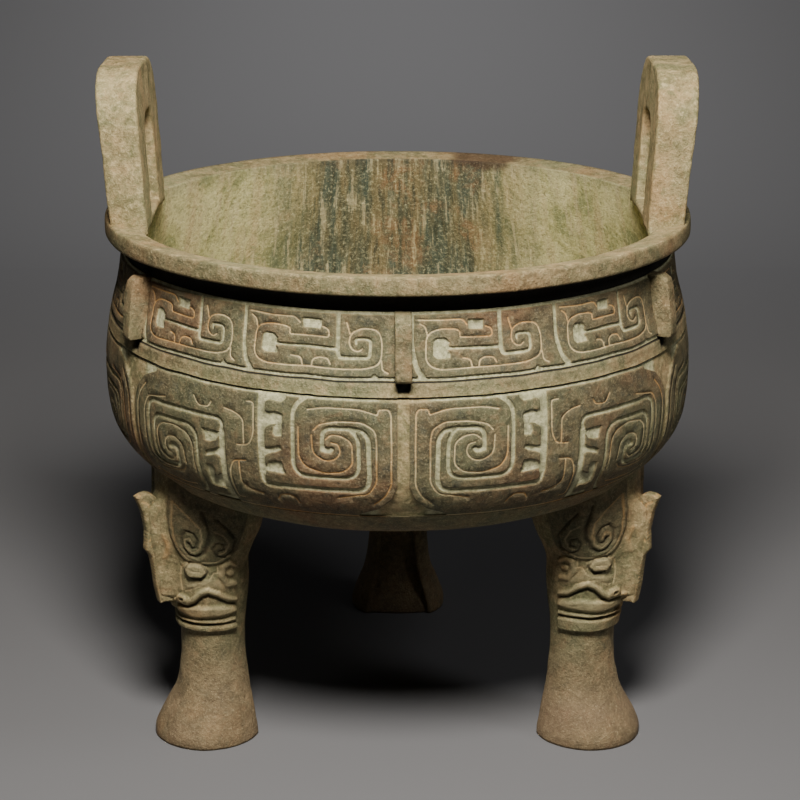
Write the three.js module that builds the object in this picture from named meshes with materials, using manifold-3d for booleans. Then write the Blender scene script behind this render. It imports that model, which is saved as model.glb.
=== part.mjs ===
// A cast bronze ding: a round-bellied cauldron on three hoofed legs, with two upright handles
// on its rim and two bands of sunken ornament. The vessel is one casting, so it is one mesh.
// Millimetres, +Z up. The origin is on the floor, under the middle of the bowl. The front is -Y.
// An angle around the vessel is in degrees from the front, growing towards +X.
import * as THREE from "three";
import { mergeVertices } from "three/addons/utils/BufferGeometryUtils.js";
import Module from "manifold-3d";

const wasm = await Module();
wasm.setup();

// --- Driving dimensions -------------------------------------------------------------------
const RIM_RADIUS = 176;
const RIM_TOP = 313.5;
const RIM_EDGE = 10.8; // height of the rim's outer edge
const RIM_INNER_RADIUS = 158.9;
const RIM_DIP = 2.4; // the rim's top falls this much towards the mouth
const SEGMENTS = 30; // facets around the bowl

// Outer profile of the bowl below the rim, as [radius, height], from the neck down.
const NECK = [
  [166.3, 299.2],
  [167.0, 291.5],
];
const BELLY = [
  [170.4, 271.0],
  [174.6, 256.8],
  [179.2, 220.0],
  [175.6, 191.8],
  [164.4, 174.4],
];
const UNDERSIDE = [
  [162.6, 173.2],
  [155.0, 164.8],
  [136.0, 155.2],
  [80.0, 143.6],
  [0, 139.8],
];
// Inner profile, from the middle of the floor up to the mouth.
const CAVITY = [
  [0, 144.8],
  [100.0, 150.8],
  [148.0, 168.4],
  [170.4, 194.6],
  [174.0, 221.0],
  [167.6, 262.0],
  [160.6, 297.0],
  [RIM_INNER_RADIUS, RIM_TOP - RIM_DIP],
];

const ORNAMENT_TURN = 1.1; // degrees that the mould's bands sit off the handles' axis
const LOWER_BAND = { bottom: 174.4, top: 245.2 };
// Plain grooves under the upper band and over the lower one, as [bottom, top].
const GROOVES = [
  [255.8, 258.1],
  [243.2, 246.0],
];
const GROOVE_DEPTH = 1.7;
const SECTOR = 60; // degrees from one mould line to the next
const SECTORS = [0, 1, 2, 3, 4, 5].map((k) => k * SECTOR);

const CLEAR = 4; // how far a cutting solid stands out of the surface
// A line on a surface has a point at least every so many degrees and millimetres of height.
const BELLY_STEP = [12, 30];
const LEG_STEP = [45, 30];

const FLANGE_WIDTH = 10;
// Side of a flange as [radius, height]; its inner edge is buried in the bowl's wall.
const FLANGE_SIDE = [
  [160, 254.5],
  [180, 254.5],
  [181.5, 257.5],
  [178, 285.5],
  [174.5, 292.5],
  [160, 292.5],
];

const HANDLE = {
  width: 102,
  holeWidth: 41,
  holeBottom: 313.5,
  holeTop: 371.4,
  holeCorner: 9,
  top: 401.1,
  corner: 32,
  root: 303.5, // where its foot ends inside the mouth
  undercut: 6, // height over which the foot slopes back from its inner face to the bowl's wall
  inner: { low: 145.9, high: 150.6 }, // distance of each face from the axis at the rim and the top
  outer: { low: 167.2, high: 174.6 },
};
const HANDLE_BED_RADIUS = RIM_INNER_RADIUS + 3; // where a handle's foot meets the wall

const LEG_ANGLES = [-60, 60, 180];
const LEG_RADIUS = 134.7; // from the axis to the middle of a foot
const LEG_SKIN_RADIUS = 27; // mean radius of a leg, the scale of the mask drawn on it
// Each row of a leg: height, shift outwards of its middle, and radius.
const LEG_ROWS = [
  [0, 0, 32.4],
  [5, 0, 32.2],
  [15, -1.7, 28.6],
  [28, -4.6, 23.4],
  [45, -5.2, 20.4],
  [76, -5.2, 20.2],
  [95, -3, 25.4],
  [118, -1.8, 26.6],
  [134, -2.4, 29.4],
  [171, -6.5, 34],
];
const LEG_BACK_ANGLE = 135; // half the angle that the round front of a leg takes
// The groove down a leg's inner side: the wall left at each side of it, the slope of its own
// sides, the rise of its floor's middle, and how it shallows towards the foot.
const CHANNEL = { depth: 6.6, lip: 3, slope: 1.5, crown: 1.5, foot: { top: 30, share: 0.1 } };
const NOSE_THICKNESS = 7.5;
// Side of the nose as [distance from the vessel's axis, height].
const NOSE_SIDE = [
  [157, 89.5],
  [165.6, 90],
  [167.6, 108],
  [169.6, 121],
  [173.2, 126],
  [172.6, 138],
  [174.6, 150],
  [178.2, 159],
  [172, 160.2],
  [166.5, 158],
  [159, 150],
  [152, 143.5],
  [140, 140],
  [140, 89.5],
];
// Raised lines of the mask on one side of the nose, each a path of [angle from it, height].
const MASK_LINES = [
  [[20, 150], [20, 127], [54, 122], [54, 142], [38, 142]], // horn
  [[14, 94.5], [52, 98], [100, 94.5]], // upper lip
];
const MASK_LINE = { width: 5, rise: 1.8 };
const EYE = [[29, 108, 5], [36, 108, 10.5], [52, 108, 10.5], [59, 108, 5]]; // with widths
const EYE_RISE = 2.6;
const COLLAR = [[-105, 75.5, 5], [105, 75.5, 5]]; // the raised ring under the mask
const COLLAR_RISE = 3.2;

// --- Solids -------------------------------------------------------------------------------
// An indexed three.js geometry whose triangles share their points, as a manifold solid.
function sharedSolid(geometry) {
  return new wasm.Manifold(
    new wasm.Mesh({
      numProp: 3,
      vertProperties: geometry.attributes.position.array,
      triVerts: new Uint32Array(geometry.index.array),
    }),
  );
}

// Any closed three.js geometry as a manifold solid.
function solid(geometry) {
  const bare = geometry.index ? geometry.toNonIndexed() : geometry.clone();
  bare.deleteAttribute("normal");
  bare.deleteAttribute("uv");
  return sharedSolid(mergeVertices(bare, 1e-4));
}

// A manifold solid as plain lists of points and triangles.
function lists(made) {
  const mesh = made.getMesh();
  const points = [];
  for (let i = 0; i < mesh.numVert; i++)
    points.push([...mesh.vertProperties.subarray(i * mesh.numProp, i * mesh.numProp + 3)]);
  const triangles = [];
  for (let i = 0; i < mesh.triVerts.length; i += 3)
    triangles.push([...mesh.triVerts.subarray(i, i + 3)]);
  return { points, triangles };
}

function geometryOf({ points, triangles }) {
  const geometry = new THREE.BufferGeometry();
  geometry.setAttribute("position", new THREE.Float32BufferAttribute(points.flat(), 3));
  geometry.setIndex(triangles.flat());
  return geometry;
}

const union = (solids) => wasm.Manifold.union(solids);
const radians = THREE.MathUtils.degToRad;
const lerp = THREE.MathUtils.lerp;

// A closed profile of [radius, height] points turned about the vertical axis.
function turned(profile) {
  const points = profile.map(([radius, height]) => new THREE.Vector2(radius, height));
  return solid(new THREE.LatheGeometry(points, SEGMENTS).rotateX(Math.PI / 2));
}

// A point at an angle around the vessel, a distance from its axis and a height.
const place = (angle, radius, height) => [
  radius * Math.sin(radians(angle)),
  -radius * Math.cos(radians(angle)),
  height,
];

// --- Lines on a surface ---------------------------------------------------------------------
// Ornament is made of lines on a surface, each a path of [angle, height, width]. A surface is a
// map from angle, height and height above it to a point.

// The path with more points on its long stretches, so that a line follows a round surface.
function stepped(path, longest) {
  return path.flatMap((point, i) => {
    if (i === 0) return [point];
    const from = path[i - 1];
    const [turn, rise] = [0, 1].map((k) => Math.abs(point[k] - from[k]) / longest[k]);
    const steps = Math.ceil(Math.max(turn, rise));
    return Array.from({ length: steps }, (_, n) => point.map((x, k) => lerp(from[k], x, (n + 1) / steps)));
  });
}

// A line as a solid with a rectangular section from one height above the surface to another.
function lineSolid(path, low, high, surface) {
  const flat = path.map(([angle, height]) => new THREE.Vector2(angle * surface.degree, height));
  const sections = flat.map((point, i) => {
    const before = flat[Math.max(i - 1, 0)];
    const after = flat[Math.min(i + 1, flat.length - 1)];
    const inwards = (i ? point.clone().sub(before) : after.clone().sub(point)).normalize();
    const outwards = (point === after ? inwards.clone() : after.clone().sub(point)).normalize();
    const mean = inwards.clone().add(outwards).normalize();
    const half = path[i][2] / 2 / Math.max(mean.dot(inwards), 0.6);
    const corner = (side, above) =>
      surface.at((point.x - side * half * mean.y) / surface.degree, point.y + side * half * mean.x, above);
    return [corner(1, low), corner(-1, low), corner(-1, high), corner(1, high)];
  });
  return lofted(sections);
}

// A solid skin through rings of points, closed with a flat face at each end.
function lofted(rings) {
  const points = rings.flat();
  const count = rings[0].length;
  const triangles = [];
  for (let row = 0; row + 1 < rings.length; row++)
    for (let i = 0; i < count; i++) {
      const next = (i + 1) % count;
      const [a, b] = [row * count + i, row * count + next];
      triangles.push([a, b, b + count], [a, b + count, a + count]);
    }
  const last = points.length - count;
  for (let i = 1; i + 1 < count; i++)
    triangles.push([0, i + 1, i], [last, last + i, last + i + 1]);
  const made = sharedSolid(geometryOf({ points, triangles }));
  if (made.volume() > 0) return made;
  return sharedSolid(geometryOf({ points, triangles: triangles.map(([x, y, z]) => [x, z, y]) }));
}

// --- Bowl -----------------------------------------------------------------------------------
const OUTER = [...NECK, ...BELLY];

// Radius of the outer profile at a height.
function bellyRadius(height) {
  const below = OUTER.findIndex(([, z]) => z <= height);
  if (below <= 0) return below === 0 ? OUTER[0][0] : OUTER[OUTER.length - 1][0];
  const [[r1, z1], [r0, z0]] = [OUTER[below - 1], OUTER[below]];
  return lerp(r0, r1, (height - z0) / (z1 - z0));
}

// Share of its full radius that a facet of the bowl has at an angle.
function facetShare(angle) {
  const step = 360 / SEGMENTS;
  const fromMiddle = THREE.MathUtils.euclideanModulo(angle, step) - step / 2;
  return Math.cos(radians(step / 2)) / Math.cos(radians(fromMiddle));
}

const BELLY_SURFACE = {
  degree: radians(RIM_RADIUS),
  at: (angle, height, above) => {
    const turnedAngle = angle + ORNAMENT_TURN;
    return place(turnedAngle, facetShare(turnedAngle) * (bellyRadius(height) + above), height);
  },
};

function cavity() {
  return turned([...CAVITY, [RIM_INNER_RADIUS, RIM_TOP + 1], [0, RIM_TOP + 1]]);
}

function bowl() {
  const rim = [
    [RIM_RADIUS - 1, RIM_TOP - RIM_EDGE],
    [RIM_RADIUS, RIM_TOP - RIM_EDGE / 2],
    [RIM_RADIUS - 0.6, RIM_TOP],
    [RIM_INNER_RADIUS - 4, RIM_TOP - RIM_DIP - 0.5],
    [0, RIM_TOP - RIM_DIP - 0.5],
  ];
  const outside = [...UNDERSIDE.toReversed(), ...OUTER.toReversed(), ...rim];
  return turned(outside).subtract(cavity());
}

// --- Ornament -------------------------------------------------------------------------------
// Each sunken line is [path, width, depth], where a point of the path can have a width of its
// own. Lines that meet differ a little in depth, so that no two floors lie in one plane.

// Half a sector of the lower band, from a mould line to the middle of the body that links two
// coils: a squared double coil, whose outer line runs on beside the strip.
const COIL = [
  [[[25.9, 244.6], [25.9, 193.4], [6, 193.2], [6, 229.2], [14.5, 229.2], [14.5, 215]], 3.1, 1.4],
  [[[17.2, 244.6], [19.8, 238], [19.8, 200.6], [8.1, 200.6], [8.1, 229]], 3, 1.25],
];
// The bare strip on a mould line, which widens at one end.
const STRIP = [[[0, 244.8, 6.7], [0, 197, 6.7], [0, 187, 13], [0, 180, 27], [0, 175.8, 46]], 0, 1.35];
// One creature of the upper band, from its left edge: its mouth, jaw line, crest and curl.
const CREATURE = [
  [[[3.5, 272.3], [6.2, 272.3]], 10.3, 1.5],
  [[[5.5, 271.8], [15.9, 271.8]], 2.4, 1.3],
  [[[15.9, 290], [15.9, 267.4], [22, 267.4], [22, 277.6], [18.6, 277.6]], 2.6, 1.4],
  [[[-0.6, 290.4], [-0.6, 257]], 3.6, 1.45],
];
const CREATURE_STARTS = [2.3, 30.6]; // degrees from the flange before it

function cutLines(lines, move) {
  return lines.map(([path, width, depth]) => {
    const moved = path.map((point) => [...move(point), point[2] ?? width]);
    return lineSolid(stepped(moved, BELLY_STEP), -depth, CLEAR, BELLY_SURFACE);
  });
}

// The lower band repeats over two sectors: each coil is followed by itself turned half round,
// and each sector mirrors its neighbour.
function lowerCuts() {
  const sum = LOWER_BAND.bottom + LOWER_BAND.top;
  return SECTORS.flatMap((start, k) => {
    const facing = (angle) => (k % 2 ? start + SECTOR - angle : start + angle);
    const coil = ([angle, height]) => [facing(angle), height];
    const turnedCoil = ([angle, height]) => [facing(SECTOR - angle), sum - height];
    const strip = ([angle, height]) => [start + angle, k % 2 ? sum - height : height];
    return [...cutLines(COIL, coil), ...cutLines(COIL, turnedCoil), ...cutLines([STRIP], strip)];
  });
}

function upperCuts() {
  const starts = SECTORS.flatMap((sector) => CREATURE_STARTS.map((start) => sector + start));
  return starts.flatMap((start) => cutLines(CREATURE, ([angle, height]) => [start + angle, height]));
}

// A plain groove round the belly, a little deeper than the ground that it borders.
function groove(low, high) {
  const heights = [low, ...OUTER.map(([, z]) => z).filter((z) => z > low && z < high), high];
  heights.sort((a, b) => a - b);
  const inner = heights.map((z) => [bellyRadius(z) - GROOVE_DEPTH, z]);
  const outer = heights.map((z) => [bellyRadius(z) + CLEAR, z]);
  return turned([...outer, ...inner.reverse(), outer[0]]);
}

// A flat outline of [out, height] points as a plate on the radial plane at an angle.
function plate(outline, thickness, angle) {
  const shape = new THREE.Shape(outline.map(([out, height]) => new THREE.Vector2(out, height)));
  const made = new THREE.ExtrudeGeometry(shape, { depth: thickness, bevelEnabled: false });
  return solid(made.translate(0, 0, -thickness / 2).rotateX(Math.PI / 2).rotateZ(radians(angle - 90)));
}

// --- Handles --------------------------------------------------------------------------------
// An upright slab, square in section and round at its shoulders, with a tall opening. It leans
// out, and its inner face overhangs the mouth down to a foot that slopes back to the wall.
function handle(side) {
  const { width, holeWidth, holeBottom, holeTop, holeCorner, top, corner, root, undercut, inner, outer } =
    HANDLE;
  const [half, holeHalf] = [width / 2, holeWidth / 2];
  const shape = new THREE.Shape();
  shape.moveTo(-half, root);
  shape.lineTo(half, root);
  shape.lineTo(half, top - corner);
  shape.absarc(half - corner, top - corner, corner, 0, Math.PI / 2, false);
  shape.absarc(-half + corner, top - corner, corner, Math.PI / 2, Math.PI, false);
  shape.closePath();
  const hole = new THREE.Path();
  hole.moveTo(holeHalf, holeBottom);
  hole.lineTo(-holeHalf, holeBottom);
  hole.lineTo(-holeHalf, holeTop - holeCorner);
  hole.absarc(-holeHalf + holeCorner, holeTop - holeCorner, holeCorner, Math.PI, Math.PI / 2, true);
  hole.absarc(holeHalf - holeCorner, holeTop - holeCorner, holeCorner, Math.PI / 2, 0, true);
  hole.closePath();
  shape.holes.push(hole);
  const slab = new THREE.ExtrudeGeometry(shape, { depth: 1, bevelEnabled: false, curveSegments: 4 });
  const position = slab.getAttribute("position");
  for (let i = 0; i < position.count; i++) {
    const [across, height, depth] = [position.getX(i), position.getY(i), position.getZ(i)];
    const lean = (height - RIM_TOP) / (top - RIM_TOP);
    const near = lerp(inner.low, inner.high, lean);
    const far = lerp(outer.low, outer.high, lean);
    position.setXYZ(i, lerp(near, far, depth), across, height);
  }
  const slope = new THREE.CylinderGeometry(inner.low, HANDLE_BED_RADIUS, undercut, SEGMENTS);
  slope.rotateX(Math.PI / 2).translate(0, 0, root + undercut / 2);
  const made = solid(slab).subtract(solid(slope));
  return side > 0 ? made : made.rotate([0, 0, 180]);
}

// --- Legs -----------------------------------------------------------------------------------
// Radius and outward shift of a leg at a height.
function legRow(height) {
  const above = Math.max(1, LEG_ROWS.findIndex(([z]) => z >= height));
  const [[z0, shift0, r0], [z1, shift1, r1]] = [LEG_ROWS[above - 1], LEG_ROWS[above]];
  const share = (height - z0) / (z1 - z0);
  return { shift: lerp(shift0, shift1, share), radius: lerp(r0, r1, share) };
}

// The skin of a leg that stands on the -Y side, by angle from its outward side.
const LEG_SURFACE = {
  degree: radians(LEG_SKIN_RADIUS),
  at: (angle, height, above) => {
    const { shift, radius } = legRow(height);
    const reach = radius + above;
    const out = LEG_RADIUS + shift + reach * Math.cos(radians(angle));
    return [reach * Math.sin(radians(angle)), -out, height];
  },
};

// One level of a leg's skin: a round front, and a channel between two lips at the back.
function legSection(height) {
  const steps = 8;
  const front = Array.from({ length: steps + 1 }, (_, i) =>
    LEG_SURFACE.at(lerp(-LEG_BACK_ANGLE, LEG_BACK_ANGLE, i / steps), height, 0),
  );
  const [x, y] = front[steps];
  const { depth, lip, slope, crown, foot } = CHANNEL;
  const deep = depth * (foot.share + (1 - foot.share) * THREE.MathUtils.smoothstep(height, 0, foot.top));
  const back = [
    [x - lip, y],
    [x - lip - slope, y - deep],
    [0, y - deep + crown],
    [-x + lip + slope, y - deep],
    [-x + lip, y],
  ].map(([bx, by]) => [bx, by, height]);
  return [...front, ...back];
}

// A leg with its mask: the notched, hooked plate of the nose, lips, horns and eyes.
function leg(angle) {
  const raised = (path, rise) => lineSolid(stepped(path, LEG_STEP), -CLEAR, rise, LEG_SURFACE);
  const rows = LEG_ROWS.map(([height]) => height);
  const nose = plate(NOSE_SIDE, NOSE_THICKNESS, 0);
  const pieces = [lofted(rows.map(legSection)), nose, raised(COLLAR, COLLAR_RISE)];
  for (const side of [-1, 1]) {
    const lines = MASK_LINES.map((path) => path.map(([a, z]) => [side * a, z, MASK_LINE.width]));
    pieces.push(...lines.map((path) => raised(path, MASK_LINE.rise)));
    pieces.push(raised(EYE.map(([a, z, width]) => [side * a, z, width]), EYE_RISE));
  }
  return union(pieces).rotate([0, 0, angle]);
}

// --- The vessel -----------------------------------------------------------------------------
function vessel() {
  const cuts = union([...GROOVES.map(([low, high]) => groove(low, high)), ...upperCuts(), ...lowerCuts()]);
  const flanges = SECTORS.map((angle) => plate(FLANGE_SIDE, FLANGE_WIDTH, angle + ORNAMENT_TURN));
  const hollow = cavity();
  const added = [...LEG_ANGLES.map(leg), ...flanges].map((piece) => piece.subtract(hollow));
  return union([bowl().subtract(cuts), ...added, handle(1), handle(-1)]);
}

const bronze = new THREE.MeshStandardMaterial({ color: 0x8a7a5c, roughness: 0.62, metalness: 0.45 });
const cast = geometryOf(lists(vessel()));
cast.computeVertexNormals();
const mesh = new THREE.Mesh(cast, bronze);
mesh.name = "vessel";

const part = new THREE.Group();
part.add(mesh);
export default part;
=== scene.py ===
"""A cast bronze ding: the fine surface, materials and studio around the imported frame."""

import math

import bmesh
import bpy
import numpy as np
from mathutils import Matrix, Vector, noise
from mathutils.geometry import delaunay_2d_cdt


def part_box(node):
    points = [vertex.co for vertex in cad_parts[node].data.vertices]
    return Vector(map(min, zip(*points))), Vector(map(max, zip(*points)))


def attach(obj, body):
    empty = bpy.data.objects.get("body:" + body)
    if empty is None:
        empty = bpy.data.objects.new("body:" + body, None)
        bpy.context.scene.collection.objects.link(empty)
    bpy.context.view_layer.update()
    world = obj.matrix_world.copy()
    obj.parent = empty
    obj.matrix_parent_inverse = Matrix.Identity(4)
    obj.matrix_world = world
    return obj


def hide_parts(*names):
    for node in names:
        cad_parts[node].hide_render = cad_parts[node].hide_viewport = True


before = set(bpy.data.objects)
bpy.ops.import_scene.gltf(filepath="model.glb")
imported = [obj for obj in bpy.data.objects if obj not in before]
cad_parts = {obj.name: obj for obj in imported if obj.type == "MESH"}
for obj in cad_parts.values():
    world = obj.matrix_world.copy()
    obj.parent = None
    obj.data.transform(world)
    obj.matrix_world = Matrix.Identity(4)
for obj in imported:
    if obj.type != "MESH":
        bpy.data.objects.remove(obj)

bl_info = {
    "name": "Bronze ding",
    "version": (1, 0, 0),
    "blender": (4, 5, 0),
    "location": "View3D > Sidebar > Ding",
    "description": "Builds a patinated bronze ding over its CAD frame, in a studio",
    "category": "Add Mesh",
}

NODE = "vessel"
SECTOR = 60.0  # degrees from one mould line to the next
FULL_TURN = 360
DEGREE = math.radians(176.0)  # millimetres to a degree of the rim, the scale of flat drawings

# Outer profile of the bowl as (radius, height) in millimetres, and the cavity's.
RIM_TOP = [(158.9, 310.0), (159.2, 310.8), (160.2, 311.3), (174.7, 313.3)]
RIM_EDGE = [(175.4, 312.9), (175.7, 312.2), (176.0, 307.8), (175.8, 303.8), (175.2, 302.9)]
NECK = [
    (172.6, 302.5), (168.0, 301.4), (165.2, 299.6), (164.2, 297.0), (164.4, 294.4), (164.9, 292.0),
]
BELLY = [
    (166.8, 292.0), (168.2, 281.6), (170.3, 271.0), (173.9, 258.0), (175.8, 247.6),
    (177.8, 232.0), (178.3, 218.0), (177.7, 204.0), (175.4, 191.8), (170.4, 181.6),
    (164.6, 174.4),
]
UNDERSIDE = [
    (164.6, 174.4), (165.0, 173.9), (164.6, 173.2), (161.8, 172.4), (159.0, 168.4),
    (152.0, 162.6), (136.0, 155.4), (110.0, 148.6), (80.0, 143.9), (40.0, 140.9), (0.0, 140.0),
]
CAVITY = [
    (0.0, 144.8), (50.0, 145.8), (100.0, 150.8), (148.0, 168.4), (164.0, 184.0), (171.6, 200.0),
    (174.0, 221.0), (172.0, 245.0), (167.6, 264.0), (161.6, 294.0), (159.6, 304.0),
    (158.9, 310.0),
]
BAND_LOW, BAND_BORDER, BAND_HIGH = 174.4, 247.4, 292.0  # heights where the two bands' patches meet

# Each leg's angle from the front, and how far its mask sits above the first drawing.
LEGS = {"front_left": (-60.0, 0.0), "front_right": (60.0, 4.5), "back": (180.0, 0.0)}
LEG_RADIUS = 134.7  # from the vessel's axis to a leg's
# Rows of a leg: height, shift outwards of its middle, and radius.
LEG_ROWS = [
    (0.0, 0.0, 32.2), (5.0, 0.0, 32.0), (12.0, -1.0, 29.8), (20.0, -2.6, 26.9),
    (28.0, -4.4, 23.9), (38.0, -5.1, 21.7), (52.0, -5.2, 20.1), (66.0, -5.2, 19.8),
    (78.0, -5.0, 20.8), (90.0, -3.8, 23.6), (104.0, -2.6, 25.8), (118.0, -1.8, 26.6),
    (134.0, -2.4, 29.4), (150.0, -4.2, 31.8), (171.0, -6.5, 34.0),
]


# --- Numbers --------------------------------------------------------------------------------
def smooth_through(points, count):
    """Evenly spaced points on a smooth curve through the given ones (Catmull-Rom)."""
    p = np.array(points, float)
    p = np.vstack([2 * p[0] - p[1], p, 2 * p[-1] - p[-2]])
    out = []
    for i in range(1, len(p) - 2):
        t = np.linspace(0, 1, 24, endpoint=False)[:, None]
        a, b, c, d = p[i - 1], p[i], p[i + 1], p[i + 2]
        curved = (2 * a - 5 * b + 4 * c - d) * t**2 + (3 * b - a - 3 * c + d) * t**3
        out.append(0.5 * (2 * b + (c - a) * t + curved))
    dense = np.vstack([*out, p[-2][None]])
    run = np.concatenate([[0], np.cumsum(np.linalg.norm(np.diff(dense, axis=0), axis=1))])
    at = np.linspace(0, run[-1], count)
    return np.stack([np.interp(at, run, dense[:, k]) for k in range(dense.shape[1])], 1)


BELLY_CURVE = smooth_through(BELLY[::-1], 400)


def belly_radius(height):
    return np.interp(height, BELLY_CURVE[:, 1], BELLY_CURVE[:, 0])


def smoothstep(low, high, x):
    t = np.clip((x - low) / (high - low), 0, 1)
    return t * t * (3 - 2 * t)


def blurred(field, cells):
    """A sampled field softened by a Gaussian."""
    reach = int(3 * cells) + 1
    kernel = np.exp(-0.5 * (np.arange(-reach, reach + 1) / cells) ** 2)
    kernel /= kernel.sum()
    for axis in (0, 1):
        pad = [(reach, reach) if k == axis else (0, 0) for k in (0, 1)]
        padded = np.pad(field, pad, mode="edge")
        field = np.apply_along_axis(np.convolve, axis, padded, kernel, "valid")
    return field


def between_samples(field, xs, ys, points):
    """Values at points of a field sampled on a grid."""
    x = np.clip((points[:, 0] - xs[0]) / (xs[1] - xs[0]), 0, len(xs) - 1.001)
    y = np.clip((points[:, 1] - ys[0]) / (ys[1] - ys[0]), 0, len(ys) - 1.001)
    i, j = x.astype(int), y.astype(int)
    u, v = x - i, y - j
    low = field[j, i] * (1 - u) + field[j, i + 1] * u
    high = field[j + 1, i] * (1 - u) + field[j + 1, i + 1] * u
    return low * (1 - v) + high * v


FAR = 1e9


def line_distance(points, path):
    """Signed distance from points to a line with round ends, through (x, y, width) points."""
    best = np.full(len(points), FAR)
    for a, b in zip(path, path[1:]):
        a, b = np.array(a, float), np.array(b, float)
        along = b[:2] - a[:2]
        share = np.clip((points - a[:2]) @ along / max(along @ along, 1e-12), 0, 1)
        gap = np.linalg.norm(points - (a[:2] + share[:, None] * along), axis=1)
        best = np.minimum(best, gap - (a[2] + share * (b[2] - a[2])) / 2)
    return best


def area_distance(points, outline):
    """Signed distance from points to a closed outline, negative inside."""
    ring = np.array(outline, float)
    best = line_distance(points, [(x, y, 0) for x, y in [*outline, outline[0]]])
    inside = np.zeros(len(points), bool)
    for (x0, y0), (x1, y1) in zip(ring, np.roll(ring, -1, 0)):
        crosses = (y0 > points[:, 1]) != (y1 > points[:, 1])
        with np.errstate(divide="ignore", invalid="ignore"):
            at = (x1 - x0) * (points[:, 1] - y0) / (y1 - y0) + x0
        inside ^= crosses & (points[:, 0] < at)
    return np.where(inside, -best, best)


def rounded(path, radius, width):
    """A path of (angle, height) in flat millimetres with its corners turned into arcs."""
    flat = [np.array((p[0] * DEGREE, p[1])) for p in path]
    out = [flat[0]]
    for before, corner, after in zip(flat, flat[1:], flat[2:]):
        to_before, to_after = before - corner, after - corner
        room = min(np.linalg.norm(to_before), np.linalg.norm(to_after)) * 0.5
        reach = min(radius, room)
        start = corner + to_before / np.linalg.norm(to_before) * reach
        end = corner + to_after / np.linalg.norm(to_after) * reach
        for t in np.linspace(0, 1, 7):
            out.append((1 - t) ** 2 * start + 2 * t * (1 - t) * corner + t**2 * end)
    out.append(flat[-1])
    widths = width if isinstance(width, tuple) else (width, width)
    run = np.linspace(0, 1, len(out))
    return [(p[0], p[1], widths[0] + (widths[1] - widths[0]) * t) for p, t in zip(out, run)]


# --- Contours of a field, for meshes that follow an ornament's edges ---------------------------
def contours(field, xs, ys, level):
    """Chains of points where a field sampled on a grid has a level (marching squares)."""
    above = field > level
    links = {}

    def cut(i0, j0, i1, j1):
        share = (level - field[j0, i0]) / (field[j1, i1] - field[j0, i0])
        return (xs[i0] + share * (xs[i1] - xs[i0]), ys[j0] + share * (ys[j1] - ys[j0]))

    mixed = above[:-1, :-1].astype(int) + above[1:, :-1] + above[:-1, 1:] + above[1:, 1:]
    for j, i in zip(*np.nonzero((mixed > 0) & (mixed < 4))):
        corners = [(i, j), (i + 1, j), (i + 1, j + 1), (i, j + 1)]
        hits = []
        for (a, b), (c, d) in zip(corners, corners[1:] + corners[:1]):
            if above[b, a] != above[d, c]:
                key = (min(a, c), min(b, d), a != c)
                hits.append((key, cut(min(a, c), min(b, d), max(a, c), max(b, d))))
        for (k0, p0), (k1, p1) in zip(hits[::2], hits[1::2]):
            links.setdefault(k0, [p0, []])[1].append(k1)
            links.setdefault(k1, [p1, []])[1].append(k0)
    chains = []
    unused = set(links)
    starts = [k for k in links if len(links[k][1]) == 1] + list(links)
    for start in starts:
        if start not in unused:
            continue
        chain, key = [], start
        while key is not None:
            unused.discard(key)
            chain.append(links[key][0])
            key = next((k for k in links[key][1] if k in unused), None)
        closed = len(chain) > 2 and len(links[start][1]) == 2
        chains.append((np.array(chain), closed))
    return chains


def thinned(chain, closed, tolerance, longest):
    """The chain with only the points its shape needs, and none further apart than longest."""
    points = np.vstack([chain, chain[:1]]) if closed else chain
    keep = {0, len(points) - 1, len(points) // 2}
    stack = [(0, len(points) // 2), (len(points) // 2, len(points) - 1)]
    while stack:
        a, b = stack.pop()
        if b - a < 2:
            continue
        inner = points[a + 1 : b]
        along = points[b] - points[a]
        length = np.linalg.norm(along)
        if length < 1e-9:
            off = np.linalg.norm(inner - points[a], axis=1)
        else:
            away = inner - points[a]
            off = np.abs(along[0] * away[:, 1] - along[1] * away[:, 0]) / length
        worst = int(off.argmax())
        if off[worst] > tolerance or b - a > longest:
            middle = a + 1 + worst if off[worst] > tolerance else (a + b) // 2
            keep.add(middle)
            stack += [(a, middle), (middle, b)]
    return points[sorted(keep)]


# Meshing of a drawn band, in millimetres: the sampling, the spacing of plain rows, and how far
# the points kept of a contour may stray from it; then how many samples apart they may lie.
GRID = 0.3
ROW_SPACING = 5.0
ROUNDING = 0.3  # how far the blurring of a drawing rounds its corners
CONTOUR_STRAY = 0.07
CONTOUR_STEP = 11
SHORTEST_CONTOUR = 4
WELD = 0.02


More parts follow.
